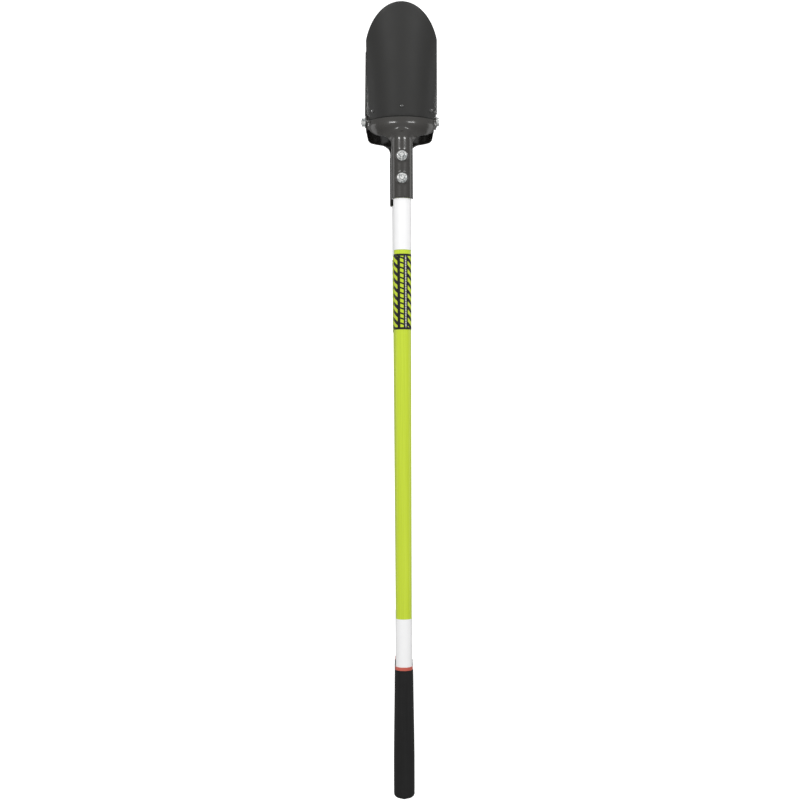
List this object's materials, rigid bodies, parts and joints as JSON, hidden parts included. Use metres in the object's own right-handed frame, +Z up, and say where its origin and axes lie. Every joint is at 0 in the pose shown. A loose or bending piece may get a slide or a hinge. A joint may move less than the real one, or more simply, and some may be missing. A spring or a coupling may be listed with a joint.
{
  "type": "clamshell digger",
  "caption": "Two-handled digger with round-point blades riveted to stamped frames, hinged on side bolts, with fibreglass handles and cushion grips.",
  "frame": {"origin": "middle of the hinge line, level with the blades' lower edges", "axes": "+X along the hinge line, +Z up through the blade points, -Y out through the front blade"},
  "size_m": [0.148, 0.16, 1.4771],
  "materials": {
    "blade_paint": "satin powder coat, slightly worn",
    "rivet_paint": "satin powder coat",
    "frame_paint": "smooth gloss powder coat",
    "handle_lime": "smooth pigmented fibreglass",
    "core_plastic": "plain moulded",
    "reflective_white": "retroreflective tape",
    "ring_red": "satin",
    "grip_black": "soft moulded cushion vinyl",
    "label_film": "printed film, hazard stripes only",
    "zinc_steel": "bright zinc plate",
    "saddle_plastic": "moulded nylon"
  },
  "bodies": {
    "front_half": {"front_blade": "blade_paint", "front_blade_rivets": "rivet_paint", "front_frame": "frame_paint", "front_handle": "handle_lime", "front_handle_core": "core_plastic", "front_end_plug": "core_plastic", "front_upper_reflective_band": "reflective_white", "front_lower_reflective_band": "reflective_white", "front_grip_ring": "ring_red", "front_grip": "grip_black", "front_label": "label_film", "front_handle_bolts": "zinc_steel", "front_handle_nuts": "zinc_steel", "front_handle_saddles": "saddle_plastic", "left_pivot_bolt": "zinc_steel", "left_pivot_nut": "zinc_steel", "left_pivot_bushing": "zinc_steel", "left_pivot_washers": "zinc_steel", "right_pivot_bolt": "zinc_steel", "right_pivot_nut": "zinc_steel", "right_pivot_bushing": "zinc_steel", "right_pivot_washers": "zinc_steel"},
    "rear_half": {"rear_blade": "blade_paint", "rear_blade_rivets": "rivet_paint", "rear_frame": "frame_paint", "rear_handle": "handle_lime", "rear_handle_core": "core_plastic", "rear_end_plug": "core_plastic", "rear_upper_reflective_band": "reflective_white", "rear_lower_reflective_band": "reflective_white", "rear_grip_ring": "ring_red", "rear_grip": "grip_black", "rear_label": "label_film", "rear_handle_bolts": "zinc_steel", "rear_handle_nuts": "zinc_steel", "rear_handle_saddles": "saddle_plastic"}
  },
  "joints": [
    {"name": "blade_hinge", "type": "hinge", "parent": "front_half", "child": "rear_half", "pos_m": [0, 0, 0], "axis": [1, 0, 0], "range_deg": [0, 34]}
  ]
}
